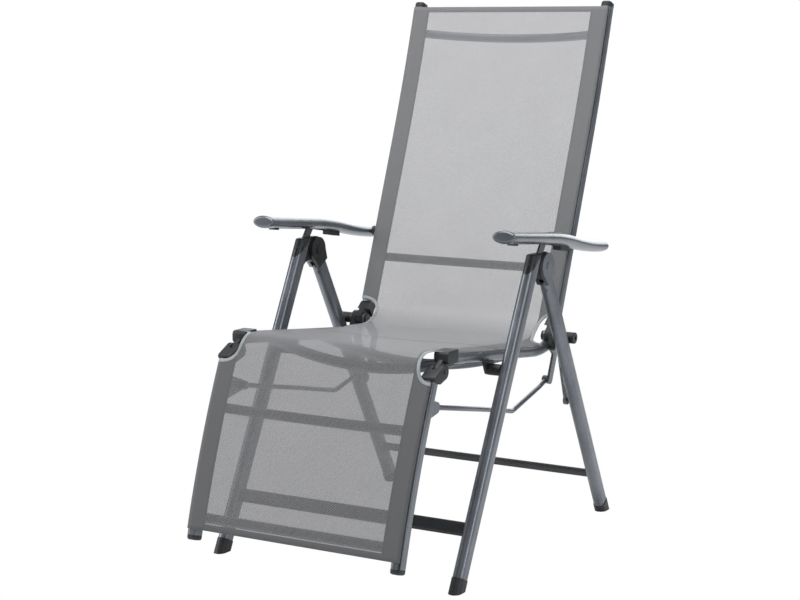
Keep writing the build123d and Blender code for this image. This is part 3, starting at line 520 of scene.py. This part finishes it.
# Spacing of the outline's points along the sides and across, and of the points inside it.
SIDE_SPACING, END_SPACING, INNER_SPACING = 0.008, 0.0078, 0.0085
# Room that the inner points leave at a cut-out along the sheet and at the edges.
CUT_MARGIN, EDGE_MARGIN = 0.003, 0.004

# Where the sheet gives way between its sides: (length along it, spread, depth).
SAGS = ((0.38, 0.26, 0.004), (s_middle, 0.17, 0.007), (s_knee + 0.2, 0.13, 0.003))

# Top of a seat side tube, in the side view: it slopes up to a bend and is level behind it.
TUBE_FRONT = (-0.301, 0.4427)
TUBE_SLOPE = 0.114
TUBE_BEND = 0.056
TUBE_RADIUS = 0.012
TUBE_CLEAR = 0.0128
# Ranges in which the sheet comes down to the tubes: along it, behind the hinge's cut-out and
# before the knee's, and across it. From ROLL_START on it bends round the tube.
DROP_STARTS = (s_hinge + 0.01, s_hinge + 0.055)
DROP_ENDS = (s_knee - 0.06, s_knee - 0.03)
DROP_ACROSS = (0.165, 0.230)
ROLL_START, ROLL_MOST = 0.229, 0.0115

TAPE_WIDTH = 0.0062
TAPE_THICKNESS = 0.0018
# Lines along the tape, as shares of its width from the cut-out's edge.
TAPE_LINES = (-0.08, 0.15, 0.6, 1.0)


def bite(centre, above, below, depth, steps=28):
    """Outline of a cut-out in the sheet's side: (distance in from the side, length) pairs."""
    points = []
    for k in range(steps + 1):
        a = math.pi * k / steps
        reach = above if a < math.pi / 2 else below
        along = math.copysign(abs(math.cos(a)) ** 0.8, math.cos(a))
        points.append((depth * math.sin(a) ** 0.75, centre - reach * along))
    return points


# The cut-outs differ a little from side to side, as in the photograph.
HINGE_BITE = {
    1: bite(s_hinge - 0.002, 0.036, 0.052, 0.034),
    -1: bite(s_hinge - 0.002, 0.038, 0.054, 0.044),
}
KNEE_BITE = {
    1: bite(s_knee + 0.004, 0.047, 0.043, 0.031),
    -1: bite(s_knee + 0.002, 0.050, 0.043, 0.042),
}


def smooth_step(value, low, high):
    """0 below low, 1 above high, with a soft rise between."""
    t = min(1.0, max(0.0, (value - low) / (high - low)))
    return t * t * (3 - 2 * t)


def sag(x, s):
    """How far the stretched mesh gives way between its sides, away from the sitter."""
    across = max(0.0, 1 - (abs(x) / HALF_WIDTH) ** 2)
    return across * sum(
        math.exp(-(((s - middle) / spread) ** 2)) * depth for middle, spread, depth in SAGS
    )


def edge_drop(x, s):
    """How far the seat's sides are pulled down onto the round side tubes."""
    y, z, _, _ = course.at(s)
    tube_top = TUBE_FRONT[1] - (min(y, TUBE_BEND) - TUBE_FRONT[0]) * TUBE_SLOPE + TUBE_CLEAR
    gap = min(TUBE_RADIUS, max(0.0, float(z) - tube_top))
    beyond = min(ROLL_MOST, max(0.0, abs(x) - ROLL_START))
    roll = TUBE_RADIUS - math.sqrt(TUBE_RADIUS**2 - beyond**2)
    starts, ends = smooth_step(s, *DROP_STARTS), smooth_step(s, *DROP_ENDS)
    return starts * (1 - ends) * smooth_step(abs(x), *DROP_ACROSS) * (gap + roll)


def place(x, s):
    """Point of the sheet in space."""
    y, z, ny, nz = course.at(s)
    drop = -sag(x, s) - edge_drop(x, s)
    return (x, float(y + ny * drop) + MIDDLE, float(z + nz * drop))


def sheet_side(s_from, s_to, cut):
    """Side of a stretch of the sheet: (distance from the middle, length) pairs."""
    inner = [(HALF_WIDTH - inward, s) for inward, s in cut]
    edge = [(HALF_WIDTH, s_from), *inner, (HALF_WIDTH, s_to)]
    dense = []
    for (x0, s0), (x1, s1) in zip(edge, edge[1:]):
        count = max(1, int(math.hypot(x1 - x0, s1 - s0) / SIDE_SPACING))
        dense += [
            (x0 + (x1 - x0) * k / count, s0 + (s1 - s0) * k / count) for k in range(count)
        ]
    return dense + [edge[-1]]


def sheet_outline(s_from, s_to, cuts):
    """Closed outline of a stretch of the sheet with a cut-out in each side."""
    left = sheet_side(s_from, s_to, cuts[1])
    right = [(-x, s) for x, s in reversed(sheet_side(s_from, s_to, cuts[-1]))]
    width = 2 * HALF_WIDTH
    count = int(width / END_SPACING)
    top = [(-HALF_WIDTH + width * k / count, s_from) for k in range(1, count)]
    bottom = [(HALF_WIDTH - width * k / count, s_to) for k in range(1, count)]
    return left + bottom + right + top


def sheet_inside(s_from, s_to, cuts):
    """Points inside the outline, in rows across the sheet."""
    points = []
    rows = int((s_to - s_from) / INNER_SPACING)
    columns = int(2 * HALF_WIDTH / INNER_SPACING)
    for row in range(1, rows):
        s = s_from + (s_to - s_from) * row / rows
        reach = {}
        for side, cut in cuts.items():
            depths, lengths = zip(*cut)
            at_cut = min(lengths) - CUT_MARGIN < s < max(lengths) + CUT_MARGIN
            depth = float(np.interp(s, lengths, depths)) if at_cut else 0.0
            reach[side] = HALF_WIDTH - depth
        for column in range(columns + 1):
            x = -HALF_WIDTH + 2 * HALF_WIDTH * column / columns
            if abs(x) < reach[1 if x > 0 else -1] - EDGE_MARGIN:
                points.append((x, s))
    return points


def add_piece(name, mesh, material, thickness=None):
    """A smooth piece of a mesh; a thickness makes a skin of an open one."""
    mesh.materials.append(material)
    mesh.shade_smooth()
    piece = bpy.data.objects.new(name, mesh)
    bpy.context.scene.collection.objects.link(piece)
    if thickness:
        skin = piece.modifiers.new("skin", "SOLIDIFY")
        skin.thickness = thickness
        skin.offset = 0
    return piece


def make_sheet(name, s_from, s_to, cuts, material):
    """A stretch of the mesh sheet as a thin skin with its flat pattern stored on it."""
    outline = sheet_outline(s_from, s_to, cuts)
    edges = [(i, (i + 1) % len(outline)) for i in range(len(outline))]
    points = [Vector(point) for point in outline + sheet_inside(s_from, s_to, cuts)]
    flat_points, _, faces, _, _, _ = geometry.delaunay_2d_cdt(points, edges, [], 1, 1e-6)
    mesh = bpy.data.meshes.new(name)
    mesh.from_pydata([place(x, s) for x, s in flat_points], [], [list(face) for face in faces])
    mesh.attributes.new("flat", "FLOAT_VECTOR", "POINT")
    stored = [value for x, s in flat_points for value in (x, s, 0)]
    mesh.attributes["flat"].data.foreach_set("vector", stored)
    return add_piece(name, mesh, material, SHEET_THICKNESS)


def binding(name, outline, side, body_a, body_b, start, end):
    """Silvery tape folded over the edge of a cut-out."""
    vertices, faces = [], []
    count, lines = len(outline), len(TAPE_LINES)
    for i, (inward, s) in enumerate(outline):
        before, after = outline[max(0, i - 1)], outline[min(count - 1, i + 1)]
        along = np.array([after[0] - before[0], after[1] - before[1]])
        along /= np.linalg.norm(along)
        inner = np.array([along[1], -along[0]])
        # Near the cut-out's ends its edge runs across the sheet, and the sign stays.
        if inner[0] < 0 and abs(inner[0]) > 0.3:
            inner = -inner
        for share in TAPE_LINES:
            step = inner * TAPE_WIDTH * share
            x = min(HALF_WIDTH, HALF_WIDTH - (inward + step[0]))
            vertices.append(place(side * x, s + step[1]))
    for i in range(count - 1):
        for k in range(lines - 1):
            p = i * lines + k
            faces.append((p, p + 1, p + lines + 1, p + lines))
    mesh = bpy.data.meshes.new(name)
    mesh.from_pydata(vertices, [], faces)
    piece = add_piece(name, mesh, tape, TAPE_THICKNESS)
    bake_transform(piece)
    return piece


# Painted light and shade: the threads' tones get lighter or darker, and the weave more or less
# open, along the sheet, as the light behind them falls.
PAINTED_LIGHT_STRETCHES = [
    (s_hinge - 0.03, (0.37, 0.37, 0.38), (0.20, 0.20, 0.21), 0.42),
    (s_hinge + 0.04, (0.33, 0.33, 0.34), (0.18, 0.18, 0.19), 0.68),
    (s_knee - 0.04, (0.29, 0.29, 0.30), (0.16, 0.16, 0.17), 0.68),
    (s_knee + 0.02, (0.26, 0.26, 0.265), (0.135, 0.135, 0.14), 0.54),
]
fabric = mesh_fabric("mesh_fabric", course.length, PAINTED_LIGHT_STRETCHES, (TOP_HEM, TOP_HEM + 0.012))
rest_fabric = mesh_fabric(
    "leg_rest_fabric", course.length, PAINTED_LIGHT_STRETCHES, (BOTTOM_HEM - 0.013, BOTTOM_HEM)
)
back_sheet = make_sheet("back_sheet", TOP_HEM, s_middle, HINGE_BITE, fabric)
rest_sheet = make_sheet("rest_sheet", s_middle, BOTTOM_HEM, KNEE_BITE, rest_fabric)

# Pairs of points at the crease between backrest and seat and at the shin.
CREASE = ((0, 0.100 + MIDDLE, 0.428), (0, 0.150 + MIDDLE, 0.480))
SHIN = ((0, -0.345 + MIDDLE, 0.462), (0, -0.388 + MIDDLE, 0.425))
hinge_tapes = [
    binding("hinge_tape_" + word, HINGE_BITE[side], side, "seat", "backrest", *CREASE)
    for word, side in SIDES
]
knee_tapes = [
    binding("knee_tape_" + word, KNEE_BITE[side], side, "seat", "leg_rest", *SHIN)
    for word, side in SIDES
]
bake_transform(back_sheet)
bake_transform(rest_sheet)
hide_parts("back_mesh", "seat_mesh")
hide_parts("rest_mesh")


# Screws in the rear legs' undersides, below the leg pivots

LEG_PIVOT = np.array([0.006435, 0.5881])
REAR_FOOT = np.array([0.3523, 0.0])
SCREW_X, SCREW_OFFSET = 0.272, 0.003
SCREW_DOWN, SCREW_OUT = 0.052, 0.0180
SCREW_RADIUS, SCREW_FLATNESS = 0.0042, 0.45
# Crossed driver recess: half the width and length of its arms, and the height of its floor.
RECESS_HALF, RECESS_REACH, RECESS_FLOOR = 0.0006, 0.0026, 0.0009

rear_up = (LEG_PIVOT - REAR_FOOT) / np.linalg.norm(LEG_PIVOT - REAR_FOOT)
rear_under = turn(rear_up, 90)
screw_point = LEG_PIVOT - rear_up * SCREW_DOWN + rear_under * SCREW_OUT
outward = Vector((0, *rear_under)).to_track_quat("Z", "Y").to_matrix().to_4x4()
for word, side in SIDES:
    head = bmesh.new()
    bmesh.ops.create_uvsphere(head, u_segments=24, v_segments=12, radius=SCREW_RADIUS)
    for vertex in head.verts:
        point = vertex.co
        point.z *= SCREW_FLATNESS
        in_cross = min(abs(point.x), abs(point.y)) < RECESS_HALF
        if in_cross and math.hypot(point.x, point.y) < RECESS_REACH:
            point.z = min(point.z, RECESS_FLOOR)
    mesh = bpy.data.meshes.new("leg_screw_" + word)
    head.to_mesh(mesh)
    head.free()
    screw = add_piece("leg_screw_" + word, mesh, steel)
    spot = (side * SCREW_X + SCREW_OFFSET, screw_point[0] + MIDDLE, screw_point[1])
    screw.matrix_world = Matrix.Translation(spot) @ outward
    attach(screw, "rear_legs")


# Studio: pale floor, white surroundings for the camera, soft boxes above and around


def split_by_ray(owner, lit, seen, output):
    """The camera sees one shader, and all other rays meet another."""
    rays = add(owner, "ShaderNodeLightPath").outputs["Is Camera Ray"]
    pick = add(owner, "ShaderNodeMixShader", Fac=rays, i1=lit, i2=seen)
    connect(owner, pick.outputs["Shader"], output.inputs["Surface"])


FLOOR_HALF = 30
corners = [
    (x * FLOOR_HALF, y * FLOOR_HALF, 0) for x, y in ((-1, -1), (1, -1), (1, 1), (-1, 1))
]
floor_mesh = bpy.data.meshes.new("floor")
floor_mesh.from_pydata(corners, [], [(0, 1, 2, 3)])
floor_look, floor_shader, floor_output = principled("white_floor")
floor_shader.inputs["Base Color"].default_value = (0.92, 0.92, 0.92, 1)
floor_shader.inputs["Roughness"].default_value = 0.9
white = add(floor_look, "ShaderNodeEmission", Color=(1, 1, 1, 1), Strength=1.0)
split_by_ray(
    floor_look, floor_shader.outputs["BSDF"], white.outputs["Emission"], floor_output
)
add_piece("floor", floor_mesh, floor_look)

world = bpy.data.worlds.new("studio")
bpy.context.scene.world = world
world.use_nodes = True
world.node_tree.nodes.clear()
world_output = add(world, "ShaderNodeOutputWorld")
soft = add(world, "ShaderNodeBackground", Color=(0.86, 0.90, 0.95, 1), Strength=0.34)
plain = add(world, "ShaderNodeBackground", Color=(1, 1, 1, 1), Strength=1.0)
split_by_ray(world, soft.outputs["Background"], plain.outputs["Background"], world_output)


def soft_box(name, spot, aim, size, power, colour=(1, 1, 1)):
    """Large area light aimed at a point."""
    light = bpy.data.lights.new(name, "AREA")
    light.shape = "RECTANGLE"
    light.size, light.size_y = size
    light.energy = power
    light.color = colour
    lamp = bpy.data.objects.new(name, light)
    facing = (Vector(aim) - Vector(spot)).to_track_quat("-Z", "Y").to_matrix().to_4x4()
    lamp.matrix_world = Matrix.Translation(Vector(spot)) @ facing
    bpy.context.scene.collection.objects.link(lamp)


soft_box("overhead", (-0.1, -0.5, 3.0), (0, 0, 0.5), (2.4, 2.6), 66)
soft_box("left_wall", (-3.0, -1.6, 1.7), (0, 0, 0.6), (1.2, 2.8), 44)
soft_box("right_wall", (3.2, -0.6, 1.6), (0, 0, 0.6), (0.9, 2.6), 22, (0.93, 0.97, 1))
soft_box("back_glow", (-0.7, 3.1, 1.9), (0, 0, 0.7), (3.6, 2.4), 65)


# Camera, solved from the photograph

CAMERA_SPOT = (1.7464, -3.1931 + MIDDLE, 1.0259)
azimuth, elevation, roll = (math.radians(degrees) for degrees in (29.4, 11.8, 0.3))
camera_data = bpy.data.cameras.new("camera")
camera_data.sensor_width = 36
camera_data.lens = 78.82
camera_data.shift_y = 0.13575
camera_data.clip_start = 0.05
camera = bpy.data.objects.new("camera", camera_data)
level = math.cos(elevation)
back = Vector((math.sin(azimuth) * level, -math.cos(azimuth) * level, math.sin(elevation)))
right = Vector((math.cos(azimuth), math.sin(azimuth), 0))
up = back.cross(right)
rolled_right = right * math.cos(roll) + up * math.sin(roll)
rolled_up = up * math.cos(roll) - right * math.sin(roll)
axes = Matrix((rolled_right, rolled_up, back)).transposed().to_4x4()
camera.matrix_world = Matrix.Translation(CAMERA_SPOT) @ axes
bpy.context.scene.collection.objects.link(camera)
bpy.context.scene.camera = camera
bpy.context.scene.view_settings.view_transform = "Standard"
